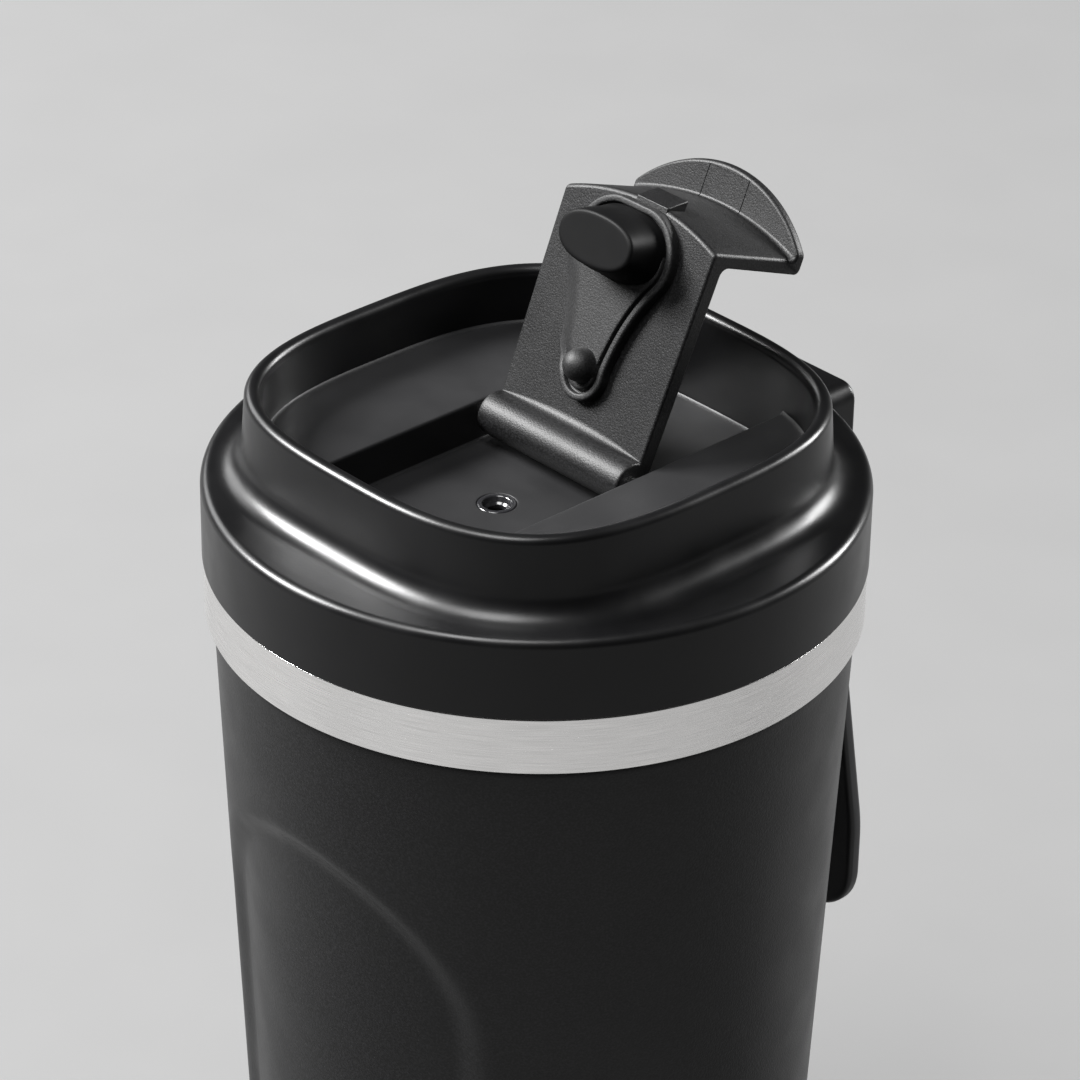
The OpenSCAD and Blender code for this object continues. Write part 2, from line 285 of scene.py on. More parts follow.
class Nodes:
    """A short way to write a material's node tree."""

    def __init__(self, name):
        self.material = bpy.data.materials.new(name)
        self.material.use_nodes = True
        self.tree = self.material.node_tree
        self.shader = self.tree.nodes["Principled BSDF"]

    def add(self, kind, **values):
        """A node of that kind. A value sets a socket, or the node's own property of that name."""
        node = self.tree.nodes.new(kind)
        for key, value in values.items():
            if hasattr(node, key):
                setattr(node, key, value)
            else:
                self.put(value, node.inputs[key.replace("_", " ")])
        return node

    def put(self, value, socket):
        """Links an output to a socket, or sets the socket's own value."""
        if isinstance(value, bpy.types.NodeSocket):
            self.tree.links.new(value, socket)
        else:
            socket.default_value = value

    def noise(self, scale, detail=3, vector=None):
        """Noise in the piece's own space, with features about 1 / scale metres across."""
        place_in = vector or self.add("ShaderNodeTexCoord").outputs["Object"]
        node = self.add("ShaderNodeTexNoise", Vector=place_in, Scale=scale, Detail=detail)
        return node.outputs["Fac"]

    def between(self, value, low, high, start=0.35, end=0.65):
        """Maps noise onto a range of values."""
        node = self.add("ShaderNodeMapRange")
        self.put(value, node.inputs["Value"])
        names = ("From Min", "From Max", "To Min", "To Max")
        for name, number in zip(names, (start, end, low, high)):
            node.inputs[name].default_value = number
        return node.outputs["Result"]

    def shade(self, value, colour, spread):
        """A colour that noise makes darker or lighter by spread."""
        node = self.add("ShaderNodeMix", data_type="RGBA")
        self.put(value, node.inputs["Factor"])
        node.inputs["A"].default_value = [c * (1 - spread) for c in colour] + [1]
        node.inputs["B"].default_value = [c * (1 + spread) for c in colour] + [1]
        self.put(node.outputs["Result"], self.shader.inputs["Base Color"])

    def bump(self, height, strength, depth, under=None):
        """Adds a relief of that depth in metres, over another one if given."""
        node = self.add("ShaderNodeBump")
        node.inputs["Strength"].default_value = strength
        node.inputs["Distance"].default_value = depth
        self.put(height, node.inputs["Height"])
        if under is not None:
            self.put(under, node.inputs["Normal"])
        self.put(node.outputs["Normal"], self.shader.inputs["Normal"])
        return node.outputs["Normal"]


def grained(name, colour, roughness, grain, strength, spread=0.12, specular=0.5, sheen=0.0):
    """Moulded plastic, rubber or powder coat: a fine grain, and soft patches of gloss and shade."""
    m = Nodes(name)
    patches = m.noise(90, 2)
    m.shade(m.between(patches, 0, 1), colour, spread)
    gloss = m.between(m.noise(140, 3), roughness - 0.035, roughness + 0.035)
    m.put(gloss, m.shader.inputs["Roughness"])
    broad = m.bump(m.noise(260, 1), 0.05, 0.0001)
    m.bump(m.noise(grain, 4), strength, 0.00006, under=broad)
    m.shader.inputs["Specular IOR Level"].default_value = specular
    m.shader.inputs["Sheen Weight"].default_value = sheen
    return m.material


def speckled(name, colour, roughness, grain, strength, fleck, specular=0.5):
    """Powder coat or spark-eroded plastic, with fine pale flecks in its grain."""
    m = Nodes(name)
    grain_height = m.noise(grain, 3)
    m.shade(m.between(grain_height, 0, 1, 0.42, 0.72), colour, fleck)
    gloss = m.between(m.noise(120, 2), roughness - 0.03, roughness + 0.03)
    m.put(gloss, m.shader.inputs["Roughness"])
    m.bump(grain_height, strength, 0.00009)
    m.shader.inputs["Specular IOR Level"].default_value = specular
    return m.material


def brushed(name, colour, roughness, strength, lines_along=6, lines_across=9000):
    """Steel brushed round the mug's axis: long streaks round it, and fine ones up it."""
    m = Nodes(name)
    spot = m.add("ShaderNodeSeparateXYZ", Vector=m.add("ShaderNodeTexCoord").outputs["Object"])
    turn = m.add("ShaderNodeMath", operation="ARCTAN2")
    m.put(spot.outputs["Y"], turn.inputs[0])
    m.put(spot.outputs["X"], turn.inputs[1])
    around = m.add("ShaderNodeMath", operation="MULTIPLY")
    m.put(turn.outputs[0], around.inputs[0])
    around.inputs[1].default_value = lines_along
    up = m.add("ShaderNodeMath", operation="MULTIPLY")
    m.put(spot.outputs["Z"], up.inputs[0])
    up.inputs[1].default_value = lines_across
    where = m.add("ShaderNodeCombineXYZ")
    m.put(around.outputs[0], where.inputs["X"])
    m.put(up.outputs[0], where.inputs["Z"])
    streaks = m.noise(1, 4, where.outputs[0])
    m.shade(m.between(streaks, 0, 1), colour, 0.10)
    m.put(m.between(streaks, roughness - 0.05, roughness + 0.06), m.shader.inputs["Roughness"])
    m.bump(streaks, strength, 0.00003)
    m.shader.inputs["Metallic"].default_value = 1
    m.shader.inputs["Anisotropic"].default_value = 0.55
    return m.material


def make_materials():
    """The record's slots, each with its own procedural finish."""
    return {
        "powder_coat": speckled("powder_coat", (0.0042, 0.0042, 0.0045), roughness=0.41, grain=3200,
                                strength=0.42, fleck=0.8, specular=0.27),
        "brushed_steel": brushed("brushed_steel", (0.84, 0.83, 0.82), roughness=0.25, strength=0.16),
        "bare_steel": brushed("bare_steel", (0.60, 0.59, 0.58), roughness=0.34, strength=0.10),
        "pin_steel": brushed("pin_steel", (0.66, 0.66, 0.66), roughness=0.22, strength=0.05),
        "lid_plastic": grained("lid_plastic", (0.0025, 0.0025, 0.0027), roughness=0.32, grain=3000,
                               strength=0.10, specular=0.26),
        "deck_plastic": grained("deck_plastic", (0.008, 0.008, 0.0084), roughness=0.50, grain=3000,
                                strength=0.12, specular=0.25),
        "lever_plastic": speckled("lever_plastic", (0.0055, 0.0055, 0.0058), roughness=0.46,
                                  grain=4400, strength=0.50, fleck=0.8, specular=0.22),
        "sleeve_plastic": grained("sleeve_plastic", (0.028, 0.028, 0.030), roughness=0.45,
                                  grain=2500, strength=0.10),
        "bush_plastic": grained("bush_plastic", (0.010, 0.010, 0.011), roughness=0.14, grain=2500,
                                strength=0.03),
        "seal_silicone": speckled("seal_silicone", (0.0075, 0.0075, 0.0078), roughness=0.55,
                                  grain=4400, strength=0.55, fleck=0.8, specular=0.3),
        "plug_silicone": grained("plug_silicone", (0.0025, 0.0025, 0.0026), roughness=0.5,
                                 grain=2200, strength=0.03, specular=0.06),
        "gasket_silicone": grained("gasket_silicone", (0.17, 0.17, 0.175), roughness=0.6,
                                   grain=2200, strength=0.08, sheen=0.1),
        "foot_rubber": grained("foot_rubber", (0.016, 0.016, 0.017), roughness=0.7, grain=1800,
                               strength=0.25, sheen=0.1),
        "loop_rubber": grained("loop_rubber", (0.014, 0.014, 0.015), roughness=0.46, grain=2600,
                               strength=0.12),
        "getter_metal": grained("getter_metal", (0.35, 0.35, 0.35), roughness=0.6, grain=1500,
                                strength=0.4),
    }


# ---------------------------------------------------------------- cup

RECESS_R = 26.4                 # half width, and radius of the arched ends
RECESS_DEPTH = 1.6
RECESS_LOW = 24                 # height of the lowest point
RECESS_DROP = 20                # from the collar down to the highest point
RECESS_EDGE = 4.2               # width of the soft step at the edge


def body_r(z):
    """Outside radius of the tapered body at height z."""
    return BASE_R + (NECK_R - BASE_R) * (z - BASE_EDGE_Z) / (COLLAR_Z - BASE_EDGE_Z)


def recess(x, z):
    """How deep the palm recess is at x and z: a soft step inside a stadium outline."""
    low = RECESS_LOW + RECESS_R
    high = COLLAR_Z - RECESS_DROP - RECESS_R
    inside = RECESS_R - math.hypot(x, z - min(high, max(low, z)))
    return RECESS_DEPTH * smoothstep(inside / RECESS_EDGE)


def body_shell():
    """Powder-coated wall, from the rolled edge over the base plate to the neck under the collar."""
    neck_round = 1.5
    base_round = 1.2
    lip_r = BASE_R - 1.3
    neck_top = COLLAR_TOP - 1
    hidden_r = NECK_R - 0.7
    turn = [math.radians(a) for a in range(0, 91, 15)]
    neck = [(NECK_R - neck_round * (1 - math.cos(a)) / 2, COLLAR_Z - neck_round * (1 - math.sin(a)))
            for a in turn]
    side_steps = 150
    tall = COLLAR_Z - neck_round - BASE_EDGE_Z
    heights = [BASE_EDGE_Z + tall * i / side_steps for i in range(side_steps)]
    outside = arc(BASE_R - base_round, BASE_EDGE_Z, base_round, -75, -10, 5)
    outside += [(body_r(z), z) for z in heights] + neck
    outside += [(hidden_r, COLLAR_Z + 0.2), (hidden_r, neck_top)]
    inner_steps = 60
    heights = [COLLAR_Z - 3 - (COLLAR_Z - 10) * i / inner_steps for i in range(inner_steps + 1)]
    inside = [(hidden_r - WALL, neck_top), (hidden_r - WALL, COLLAR_Z)]
    inside += [(body_r(z) - WALL, z) for z in heights]
    inside += [(lip_r, BASE_EDGE_Z + WALL), (lip_r, SHELL_LOW.z)]
    rings = []
    for r, z in outside + inside:
        ring = []
        for a in full_turn(360):
            dent = recess(r * math.cos(a), z)
            ring.append(((r - dent) * math.cos(a), (r - dent) * math.sin(a), z))
        rings.append(ring)
    shell = make_object("Body_Wall", skin(rings, wrap=True), sharp=50)
    place(shell, "cup", "powder_coat", "outer_shell")


def steel_collar():
    """Bare brushed ring with rounded edges, and the flange that the lid sits over."""
    edge = 0.15
    out = LID_R - 0.2               # just inside the skirt, so that its edge shows no white line
    flange_in = 39.6
    under = COLLAR_TOP - WALL
    profile = rounded([
        (NECK_R, COLLAR_Z, 0.05), (out, COLLAR_Z, edge), (out, COLLAR_TOP, edge),
        (flange_in, COLLAR_TOP, 0.1), (flange_in, under, 0.1), (NECK_R, under, 0.1),
    ])
    collar = make_object("Steel_Collar", lathe(profile, 360), sharp=40)
    place(collar, "cup", "brushed_steel", "steel_collar")


def foot_pad():
    """Rubber pad with a rounded edge and a shallow ring groove."""
    r = FOOT_HIGH.x
    top = FOOT_HIGH.z
    groove = 0.8
    groove_in = r - 6
    groove_out = r - 4
    axis = 0.02                     # the skin starts just off the axis, which keeps its middle clean
    profile = rounded([
        (axis, 0, 0.005), (groove_in, 0, 0.2), (groove_in, groove, 0.2), (groove_out, groove, 0.2),
        (groove_out, 0, 0.2), (r, 0, 0.5), (r, top, 0.2), (axis, top, 0.005),
    ], 3)
    pad = make_object("Foot_Pad", lathe(profile, 180), sharp=50)
    place(pad, "cup", "foot_rubber", "foot_pad")


# ---------------------------------------------------------------- lid

def lid_shell():
    """Skirt, shoulder and squircle rim. A section point is (squircle share, radius, half width, z)."""
    edge = 1.3                      # rounding of the shoulder's outer edge
    flare = 3.6                     # radius of the hollow between the shoulder and the rim
    lip = RIM_T / 2
    foot_edge = 0.15
    low = COLLAR_TOP + 0.12         # leaves a hairline over the collar
    skirt_in = LID_R - RIM_T
    rim_in = RIM_A - RIM_T
    root = RIM_A + 0.4
    seat = RIM_A - 0.3
    ledge = DECK_LOW.z + 2.4
    wall_top = RIM_Z - lip
    section = [(0, skirt_in, 0, low + 0.2), (0, skirt_in + 0.2, 0, low)]
    section += [(0, x, 0, z) for x, z in arc(LID_R - foot_edge, low + foot_edge, foot_edge, -90, 0, 4)]
    section += [(0, x, 0, z) for x, z in arc(LID_R - edge, SHOULDER_Z - edge, edge, 0, 90, 8)]
    section += [(0, LID_R - edge - 0.15, 0, SHOULDER_Z), (1, flare + 0.12, root, SHOULDER_Z)]
    for k in range(13):
        a = math.pi / 2 * k / 12
        section.append((1, flare * (1 - math.sin(a)), root, SHOULDER_Z + flare * (1 - math.cos(a))))
    for share in (0.25, 0.5, 0.75):
        height = SHOULDER_Z + flare + (wall_top - SHOULDER_Z - flare) * share
        section.append((1, 0, root + (RIM_A - root) * share, height))
    section += [(1, x, RIM_A, z) for x, z in arc(-lip, wall_top, lip, 0, 180, 14)]
    section += [(1, 0, rim_in, wall_top - 0.4), (1, 0, rim_in, DECK_LOW.z)]
    section += [(1, 0, seat, DECK_LOW.z), (1, 0, seat, ledge), (0, skirt_in, 0, ledge)]
    turns = full_turn(360)
    rings = []
    for share, r, a, z in section:
        reach = [r + share * squircle(a, t) if share else r for t in turns]
        rings.append([(q * math.cos(t), q * math.sin(t), z) for q, t in zip(reach, turns)])
    shell = make_object("Lid_Cover", skin(rings, wrap=True), sharp=40)
    place(shell, "lid", "lid_plastic", "lid_shell")


def bench_loop(side, wall_gap, channel_gap, wall_z, channel_z):
    """Outline of one bench: an arc along the rim's wall, then the straight edge of the channel."""
    a = DECK_A - wall_gap
    x = CHANNEL_HALF + channel_gap
    y = squircle_y(a, x)
    end = math.atan2(y, x)
    steps = 48
    loop = [squircle_point(a, -end + 2 * end * i / steps, wall_z) for i in range(steps + 1)]
    for share in (0.98, 0.94, 0.8, 0.5, 0.2, -0.2, -0.5, -0.8, -0.94, -0.98):
        loop.append((x, y * share, channel_z))
    return [(side * p[0], p[1], p[2]) for p in loop]


def bench(side):
    """One bench: a concave corner against the rim's wall and a rounded edge over the channel."""
    rings = [bench_loop(side, 0, 0, DECK_LOW.z, DECK_LOW.z)]
    for (gap, rise), (back, drop) in zip(quarter(0.75), quarter(0.4)):
        rings.append(bench_loop(side, gap, back, BENCH_Z + rise, BENCH_Z - drop))
    rings.append(bench_loop(side, 1.1, 0.8, BENCH_Z, BENCH_Z))
    return skin(rings, cap=True)


def floor_loop(gap, wall_z, side_gap):
    """Outline of the channel's floor: two straight walls and the rim's wall front and back."""
    a = DECK_A - gap
    x = CHANNEL_HALF + 0.1 - side_gap
    y = squircle_y(a, x)
    end = math.atan2(y, x)
    steps = 32
    loop = []
    for start in (end, end + math.pi):
        turns = [start + (math.pi - 2 * end) * i / steps for i in range(steps + 1)]
        loop += [squircle_point(a, t, wall_z) for t in turns]
        side = -1 if start == end else 1
        loop += [(side * x, side * y * share, wall_z) for share in (-0.9, -0.4, 0.4, 0.9)]
    return loop


def stadium(half, r, y, steps=20):
    """Oval outline round (0, y) with its straight sides along X, counter-clockwise."""
    return arc(half, y, r, -90, 90, steps) + arc(-half, y, r, 90, 270, steps)


def oval(a, b, steps=72, power=2.3):
    """Slightly squared oval outline with half widths a and b."""
    points = []
    for t in full_turn(steps):
        r = (abs(math.cos(t)) ** power + abs(math.sin(t)) ** power) ** (-1 / power)
        points.append((a * r * math.cos(t), b * r * math.sin(t)))
    return points


def hole_rings(half, r, y, edge):
    """Wall of a hole through the floor, with a rounded upper edge."""
    def ring(extra, z):
        return [(px, py, z) for px, py in stadium(half, r + extra, y)]
    rings = [ring(0, DECK_LOW.z)]
    rings += [ring(back, FLOOR_Z - drop) for back, drop in quarter(edge)]
    rings.append(ring(edge + 0.25, FLOOR_Z))
    return skin(rings)


def lid_deck():
    """Bowl of the lid: two benches, the channel's floor, the drink opening and the vent's seat."""
    rings = [floor_loop(0, DECK_LOW.z, 0)]
    rings += [floor_loop(gap, FLOOR_Z + rise, gap * 0.8) for gap, rise in quarter(0.65)]
    rings.append(floor_loop(0.95, FLOOR_Z, 0.8))
    drink_hole = hole_rings(DRINK_HALF, DRINK_R, DRINK_Y, 0.6)
    vent_hole = hole_rings(0, BUSH_HIGH.x, VENT_Y, 0.15)
    floor = merged(skin(rings), drink_hole, vent_hole)
    deck = make_object("Lid_Deck", floor, sharp=40, open_levels=(FLOOR_Z, DECK_LOW.z))
    for side in (-1, 1):
        combine(deck, make_object("bench", bench(side)), "UNION", sharp=40)
    place(deck, "lid", "deck_plastic", "lid_deck")


def vent_bush():
    """Polished seat of the vent, with a rounded rim and a countersink down to its hole."""
    r = BUSH_HIGH.x
    out = r - 0.02
    hole_r = 1.3
    low = BUSH_LOW.z
    top = FLOOR_Z + 0.05
    profile = rounded([
        (hole_r, low, 0.05), (out, low, 0.05), (out, top, 0.28), (r - 0.75, top, 0.35),
        (r - 1.05, top - 0.75, 0.3), (hole_r, top - 1.05, 0.2),
    ], 5)
    verts, faces = lathe(profile, 96)
    moved = [(x, y + VENT_Y, z) for x, y, z in verts]
    bush = make_object("Vent_Bush", (moved, faces), sharp=50)
    place(bush, "lid", "bush_plastic", "vent_bush")


# ---------------------------------------------------------------- lever

BARREL_R = 3.1
BARREL_HALF = 13.6              # half width of the lever at its barrel
WIDENING = 0.6                  # how much wider each side of the plate is at the fold
PLATE_HALF = 14.2               # half width of the plate at the fold
FACE_V = 0.15                   # sealing face of the plate, above the pivot when closed
PLATE_T = 2.5
REACH = 35.1                    # from the pivot to the fold of the riser, on the middle line
FOLD_R = 37.9                   # radius of the fold, seen from above
RISER_T = 1.8
LEAN = 0.9                      # how far the riser leans out at its top
LIP_V = 14.7                    # underside of the thumb lip
LIP_T = 1.6
LIP_TIP = 41.6                  # from the pivot to the lip's tip, on the middle line
LIP_R = 20.5                    # radius of the lip's tip, seen from above
LIP_HALF = 15.5
EDGE = 0.4                      # rounding of the lever's side edges
PAD_T = 1.6                     # how far the seal pad stands out of the sealing face


def open_lever():
    """Matrix from the closed lever's own frame, in metres, to its stored, open place."""
    return Matrix.Translation(PIVOT * MM) @ Matrix.Rotation(-OPEN_ANGLE, 4, "X")


def on_lever(x, u, v):
    """A point x across, u towards the free end and v up, on the closed lever."""
    return (x, -u, v)


def half_width(u, v):
    """Half width of the lever at a point of its profile."""
    plate = BARREL_HALF + WIDENING * min(1, max(0, (u - 3) / 29))
    return plate + (LIP_HALF - plate) * smoothstep((v - LIP_V + 1.0) / 1.1)


def barrel_fillet(level, r, side):
    """Centre of the hollow of radius r between the barrel and a plate face at that level."""
    v = level + side * r
    return math.sqrt((BARREL_R + r) ** 2 - v * v), v


def lever_profile(x_plate, x_lip):
    """Closed (u, v) profile of the lever across its width."""
    fold = math.sqrt(FOLD_R ** 2 - x_plate ** 2) + REACH - FOLD_R
    tip = LIP_TIP - LIP_R + math.sqrt(LIP_R ** 2 - x_lip ** 2)
    top_v = FACE_V + PLATE_T
    crease = 3.25 + 1.3 * (1 - (x_plate / 14) ** 2)
    low_r = (crease ** 2 - BARREL_R ** 2 + FACE_V ** 2) / (2 * (BARREL_R + FACE_V))
    low_u, low_v = barrel_fillet(FACE_V, low_r, -1)
    top_r = 1.0
    top_u, top_fv = barrel_fillet(top_v, top_r, 1)
    low_turn = math.degrees(math.atan2(low_v, low_u))
    top_turn = math.degrees(math.atan2(top_fv, top_u))
    barrel = arc(0, 0, BARREL_R, top_turn, 360 + low_turn, 40)
    hollow = arc(low_u, low_v, low_r, 180 + low_turn, 90, 8)
    lip_top = LIP_V + LIP_T
    outer = rounded([
        (low_u + 4, FACE_V, 0.2), (fold, FACE_V, 0.7), (fold + LEAN, LIP_V, 0.5),
        (tip - 0.35, LIP_V, 0.55), (tip, lip_top, 0.65), (fold + LEAN - RISER_T, lip_top, 1.0),
        (fold - RISER_T, top_v, 1.2), (top_u + 4, top_v, 0.2),
    ], 5)[6:-6]                     # without the helper corners at both ends
    back = arc(top_u, top_fv, top_r, 270, 180 + top_turn, 6)
    return barrel + hollow + outer + back


def flip_lever():
    """Barrel, plate, curved riser and thumb lip as one skin across the lever's width."""
    steps = 36
    flank = round_over(EDGE)[1:]
    stations = [(-1, gap, depth) for gap, depth in reversed(flank)]
    stations += [(i / steps * 2 - 1, EDGE, 0) for i in range(steps + 1)]
    stations += [(1, gap, depth) for gap, depth in flank]
    rings = []
    for share, gap, depth in stations:
        profile = lever_profile(share * (PLATE_HALF - gap), share * (LIP_HALF - gap))
        trimmed = inset(profile, depth)
        rings.append([on_lever(share * (half_width(*p) - gap), *q) for p, q in zip(profile, trimmed)])
    lever = make_object("Flip_Lever", skin(rings, cap=True), sharp=40)
    combine(lever, snap_catch(), "UNION", sharp=40)
    combine(lever, core_seam(), "DIFFERENCE", sharp=40)
    place(lever, "lever", "lever_plastic", "flip_lever", tilt=open_lever())


def snap_catch():
    """Wedge that stands out of the riser, a little to one side, and clicks under the rim."""
    half = 2.9
    aside = 1.2
    tall = 1.5
    edge = 0.1
    start = FACE_V + 0.02
    end = FACE_V + 3.5
    side = rounded([(REACH - 1.2, start, 0.1), (REACH + 0.05, start, 0.15), (REACH + tall, end, 0.12),
                    (REACH - 0.8, end, 0.1)], 3)
    stations = ((aside - half, edge), (aside - half + edge, 0), (aside + half - edge, 0),
                (aside + half, edge))
    rings = [[on_lever(x, *p) for p in inset(side, depth)] for x, depth in stations]
    return make_object("snap_catch", skin(rings, cap=True))


def core_seam():
    """Thin groove with three sides that a mould core leaves on the underside of the lip."""
    width = 0.13
    depth = 0.14
    half = 3.8
    fold = REACH + LEAN - 0.2
    tip = LIP_TIP - 1.05
    outline = [(-half, fold), (-half, tip), (half, tip), (half, fold), (half - width, fold),
               (half - width, tip - width), (width - half, tip - width), (width - half, fold)]
    rings = [[on_lever(x, u, v) for x, u in outline] for v in (LIP_V - 0.3, LIP_V + depth)]
    return make_object("core_seam", skin(rings, cap=True))


def bezier(a, b, c, steps):
    """Points on a quadratic curve from a to c, without its ends."""
    points = []
    for i in range(1, steps):
        t = i / steps
        points.append(tuple(a[k] * (1 - t) ** 2 + 2 * b[k] * t * (1 - t) + c[k] * t * t
                            for k in (0, 1)))
    return points


def pad_outline():
    """Keyhole outline of the pad, counter-clockwise in x and u, wide round the plug."""
    big = arc(2.3, 27.9, 6.6, -28, 90, 24)
    small = arc(0, 10.7, 3.9, -90, 12, 16)
    right = small + bezier(small[-1], (4.5, 19.4), big[0], 14) + big
    left = [(-x, u) for x, u in reversed(right)]
    return right + left[1:-1]


def soft_flank(x, u):
    """1 on the pad's rimless flank between plug and dome, on the -x side, and 0 where it is rimmed."""
    aside = smoothstep((-x - 1.0) / 2.2)
    return aside * smoothstep((u - 9.0) / 4.5) * smoothstep((28.5 - u) / 6)


def seal_pad():
    """Silicone pad with a raised rim, a groove inside it, and the dome that closes the vent."""
    outline = pad_outline()
    inward = [Vector(b) - Vector(a) for a, b in zip(outline, inset(outline, 1))]
    top = FACE_V - PAD_T
    root = FACE_V + 0.1
    floor = top + 0.06
    # A level is (distance in from the outline, v): the rim, then a groove, then the face.
    rimmed = [(0, root), (0, top + 0.45), (0.06, top + 0.2), (0.2, top + 0.04), (0.35, top),
              (0.75, top), (0.9, top + 0.05), (1.0, top + 0.18), (1.05, top + 0.7),
              (1.1, top + 0.75), (1.4, top + 0.75), (1.5, top + 0.7), (1.56, top + 0.2),
              (1.65, top + 0.1), (1.8, floor), (2.2, floor)]
    spread = 3.0
    soft = []
    for k in range(len(rimmed)):
        depth = k / (len(rimmed) - 1) * (spread + 2.2) - spread
        rise = smoothstep((depth + spread) / (spread + 1.2))
        soft.append((depth, FACE_V + 0.1 + (top - FACE_V - 0.04) * rise))
    rings = []
    for (d0, v0), (d1, v1) in zip(rimmed, soft):
        ring = []
        for (x, u), side in zip(outline, inward):
            share = soft_flank(x, u)
            depth = d0 + (d1 - d0) * share
            ring.append(on_lever(x + side.x * depth, u + side.y * depth, v0 + (v1 - v0) * share))
        rings.append(ring)
    pad = make_object("Seal_Pad", skin(rings, cap=True), sharp=50)
    combine(pad, vent_dome(top), "UNION", sharp=50)
    place(pad, "lever", "seal_silicone", "seal_pad", tilt=open_lever())


def vent_dome(top):
    """Dome that presses into the vent's seat when the lever is closed."""
    r = 2.25
    straight = 0.6
    profile = [(0.001, top + 0.6), (r + 0.35, top + 0.6), (r + 0.15, top + 0.1), (r, top - straight)]
    profile += [(r * math.cos(a), top - straight - r * math.sin(a))
                for a in [math.radians(8 * k) for k in range(1, 11)]]
    profile += [(0.001, top - straight - r)]
    turned, faces = lathe(profile, 72)
    u = PIVOT.y - VENT_Y
    return make_object("vent_dome", ([(x, y - u, z) for x, y, z in turned], faces))


def drink_plug():
    """Oval silicone plug: a waisted side and a smooth flat end with a rounded edge."""
    u = PIVOT.y - DRINK_Y
    root = FACE_V - 1.2
    tip = -7.2
    edge = 0.55
    end_a = 6.75
    end_b = 3.6
    # A section is (half width across, half width along, v).
    sections = [(7.2, 5.0, root), (7.1, 4.85, root - 0.7), (6.95, 4.5, root - 1.6),
                (6.85, 4.1, tip + 2.2)]
    for a in [math.radians(15 * k) for k in range(7)]:
        reach = edge * math.cos(a)
        sections.append((end_a - edge + reach, end_b - edge + reach, tip + edge - edge * math.sin(a)))
    sections.append((end_a - edge - 0.3, end_b - edge - 0.3, tip))
    rings = [[on_lever(x, u + y, v) for x, y in oval(a, b)] for a, b, v in sections]
    plug = make_object("Drink_Plug", skin(rings, cap=True), sharp=60)
    place(plug, "lever", "plug_silicone", "drink_plug", tilt=open_lever())


# ---------------------------------------------------------------- carry loop

def loop_bracket():
    """Rounded block behind the skirt with a slot for the loop's knuckle."""
    half = BRACKET_HIGH.x
    low, high = BRACKET_LOW.z, BRACKET_HIGH.z
    back = BRACKET_HIGH.y
    outline = rounded([(-half, low, 0.8), (half, low, 0.8), (half, high, 2.5), (-half, high, 2.5)], 8)
    inside = LID_R - 0.3
    rings = [[(x, math.sqrt(inside ** 2 - x * x), z) for x, z in outline]]
    for drop, depth in round_over(0.7):
        rings.append([(x, back - drop, z) for x, z in inset(outline, depth)])
    bracket = make_object("Loop_Bracket", skin(rings, cap=True), sharp=40)
    slot_half = 8
    slot_top = LOOP_PIN.z + 3.2
    slot_low = low - 5
    slot = rounded([(-slot_half, slot_low, 0.1), (slot_half, slot_low, 0.1),
                    (slot_half, slot_top, 1.0), (-slot_half, slot_top, 1.0)], 4)
    cutter = make_object("slot", skin([[(x, y, z) for x, z in slot] for y in (35, 55)], cap=True))
    combine(bracket, cutter, "DIFFERENCE", sharp=40)
    place(bracket, "lid", "lid_plastic", "loop_bracket")


def loop_outline(inner):
    """Teardrop outline of the loop round its pin, or of the opening in it, as (x, z)."""
    half = LOOP_HIGH.x
    bottom = LOOP_LOW.z - LOOP_PIN.z
    strap = 6.5 if inner else 0
    bend = 10.5                     # radius of the two lower corners
    end_r = bend - strap
    z = bottom + bend
    low = z + strap - bend
    side = half - strap
    top = -22 if inner else 1.2
    knuckle_half = 7.4
    top_half = knuckle_half + (half - knuckle_half) * top / z - strap
    corner = 2.0 if inner else 0.8
    return rounded([(top_half, top, corner), (-top_half, top, corner), (-side, z + 6, 30),
                    (-side, low, end_r), (side, low, end_r), (side, z + 6, 30)], 12)


def carry_loop():
    """Flexible strap with rounded edges, and the knuckle that turns on the pin."""
    thick = LOOP_HIGH.y - LOOP_LOW.y
    strap_t = 2.2
    edge = 0.7
    strips = []
    for outline, inward in ((loop_outline(False), 1), (loop_outline(True), -1)):
        path = round_over(edge)
        levels = [(edge + 0.3, 0)] + path
        levels += [(d, strap_t - y) for d, y in reversed(path)] + [(edge + 0.3, strap_t)]
        rings = [[(x, z, y) for x, z in inset(outline, inward * d)] for d, y in levels]
        strips.append(skin(rings))
    strap = make_object("Carry_Loop", merged(*strips), sharp=45, open_levels=(0, strap_t))
    turn = Matrix(((1, 0, 0, 0), (0, 0, -1, strap_t / 2 * MM), (0, 1, 0, 0), (0, 0, 0, 1)))
    strap.data.transform(turn)
    knuckle_r = thick / 2
    half = 7.6
    axis = 0.001
    profile = rounded([(axis, -half, 0.01), (knuckle_r, -half, 0.4), (knuckle_r, half, 0.4),
                       (axis, half, 0.01)], 4)
    turned, faces = lathe(profile, 48)
    knuckle = make_object("knuckle", ([(z, x, y) for x, y, z in turned], faces))
    combine(strap, knuckle, "UNION", sharp=45)
    place(strap, "loop", "loop_rubber", "carry_loop", tilt=Matrix.Translation(LOOP_PIN * MM))


# ---------------------------------------------------------------- carried-over CAD nodes

def finish_cad_nodes():
    """Gives each CAD node that stays in view the finish of its slot in the record."""
    for row in frame["record"]["subparts"]:
        node = frame["nodes"][row["node"]]
        if not node.hide_render:
            node.data.materials.clear()
            node.data.materials.append(MATERIALS[row["material_slot"]])


# ---------------------------------------------------------------- studio

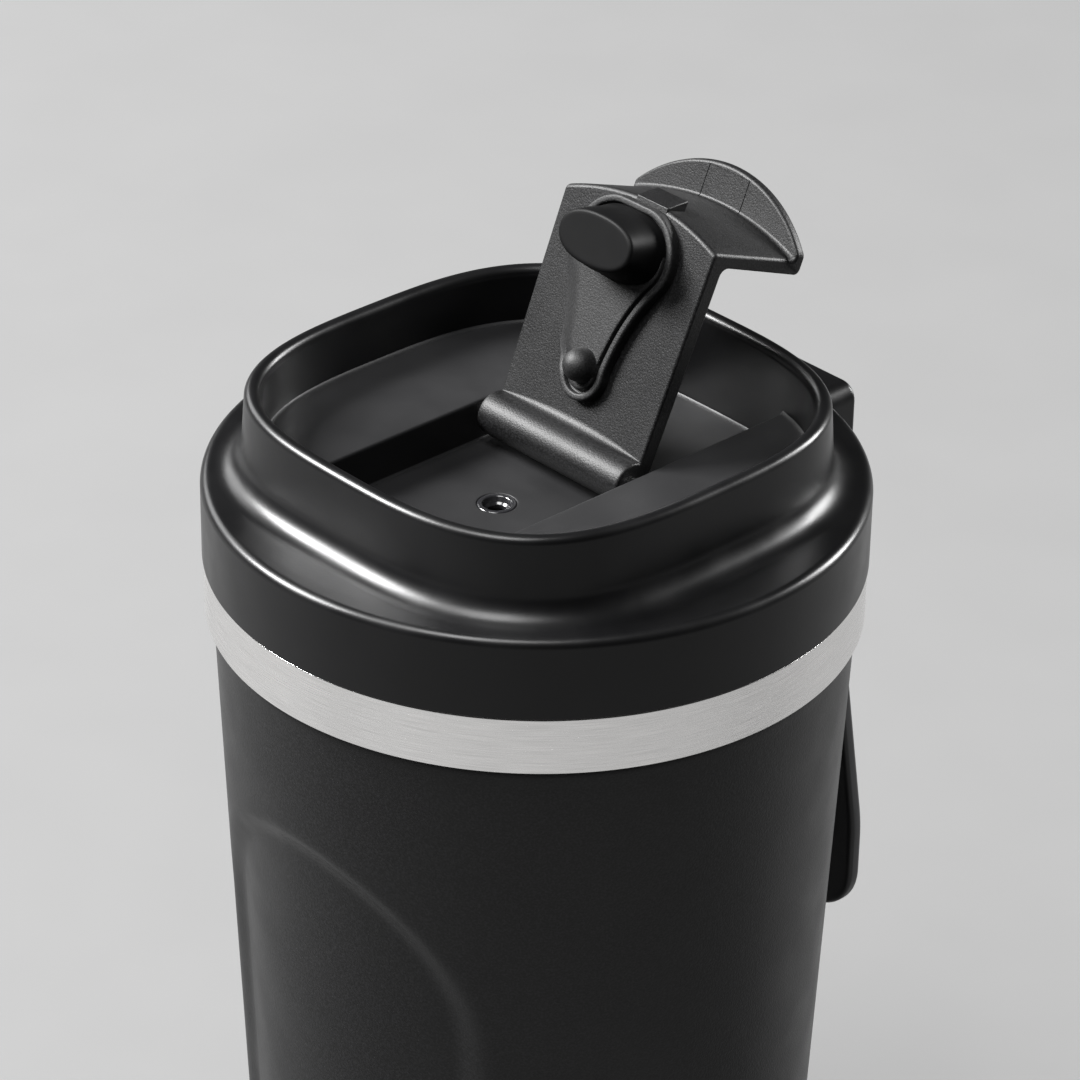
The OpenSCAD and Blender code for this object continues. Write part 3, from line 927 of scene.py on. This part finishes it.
AIM = Vector((0.0004, 0.0004, 0.1485))  # metres
CAMERA_AZIMUTH = 46.94
CAMERA_ELEVATION = 30.04
CAMERA_ROLL = 0.911
CAMERA_DISTANCE = 0.6007
CAMERA_LENS = 150
FLOOR_RADIUS = 6                # metres
FLOOR_GREY = 0.125


def direction(azimuth, elevation):
    """Unit vector from the mug. Azimuth 0 is the drinking side and 90 is +X, in degrees."""
    a, e = math.radians(azimuth), math.radians(elevation)
    return Vector((math.sin(a) * math.cos(e), -math.cos(a) * math.cos(e), math.sin(e)))


def add_camera():
    """Camera at the picture's angle."""
    data = bpy.data.cameras.new("Camera")
    data.lens = CAMERA_LENS
    data.sensor_width = 36
    data.clip_start = 0.01
    data.clip_end = 50
    camera = bpy.data.objects.new("Camera", data)
    bpy.context.scene.collection.objects.link(camera)
    back = direction(CAMERA_AZIMUTH, CAMERA_ELEVATION)
    camera.location = AIM + back * CAMERA_DISTANCE
    camera.rotation_mode = "QUATERNION"
    roll = Quaternion((0, 0, 1), math.radians(CAMERA_ROLL))
    camera.rotation_quaternion = (-back).to_track_quat("-Z", "Y") @ roll
    bpy.context.scene.camera = camera


def softbox(name, azimuth, elevation, distance, width, height, power):
    """A rectangular area light that faces the lid. Azimuth is measured from the camera's."""
    data = bpy.data.lights.new(name, "AREA")
    data.shape = "RECTANGLE"
    data.size = width
    data.size_y = height
    data.energy = power
    lamp = bpy.data.objects.new(name, data)
    bpy.context.scene.collection.objects.link(lamp)
    out = direction(CAMERA_AZIMUTH + azimuth, elevation)
    lamp.location = AIM + out * distance
    lamp.rotation_mode = "QUATERNION"
    lamp.rotation_quaternion = (-out).to_track_quat("-Z", "Y")
    lamp.visible_camera = False


def add_studio():
    """Pale floor, dim white surroundings and soft lights."""
    world = bpy.data.worlds.new("Studio")
    world.use_nodes = True
    surround = world.node_tree.nodes["Background"]
    surround.inputs["Color"].default_value = (1, 1, 1, 1)
    surround.inputs["Strength"].default_value = 0.05
    bpy.context.scene.world = world
    softbox("Key", azimuth=-102, elevation=40, distance=2.0, width=0.9, height=0.7, power=190)
    softbox("Overhead", azimuth=-40, elevation=66, distance=1.8, width=0.9, height=0.8, power=46)
    softbox("Back_Left", azimuth=-140, elevation=24, distance=2.0, width=0.8, height=0.8, power=14)
    softbox("Right", azimuth=116, elevation=20, distance=2.2, width=0.45, height=1.0, power=90)
    bm = bmesh.new()
    bmesh.ops.create_circle(bm, cap_ends=True, segments=96, radius=FLOOR_RADIUS)
    mesh = bpy.data.meshes.new("Floor")
    bm.to_mesh(mesh)
    bm.free()
    floor = bpy.data.objects.new("Floor", mesh)
    bpy.context.scene.collection.objects.link(floor)
    paper = Nodes("floor_paper")
    paper.shade(paper.between(paper.noise(30, 2), 0, 1), (FLOOR_GREY,) * 3, 0.01)
    paper.shader.inputs["Roughness"].default_value = 0.9
    paper.shader.inputs["Specular IOR Level"].default_value = 0
    mesh.materials.append(paper.material)
    bpy.context.scene.view_settings.view_transform = "Standard"


MATERIALS = make_materials()
add_camera()
add_studio()
body_shell()
steel_collar()
foot_pad()
lid_shell()
lid_deck()
vent_bush()
flip_lever()
seal_pad()
drink_plug()
loop_bracket()
carry_loop()
finish_cad_nodes()
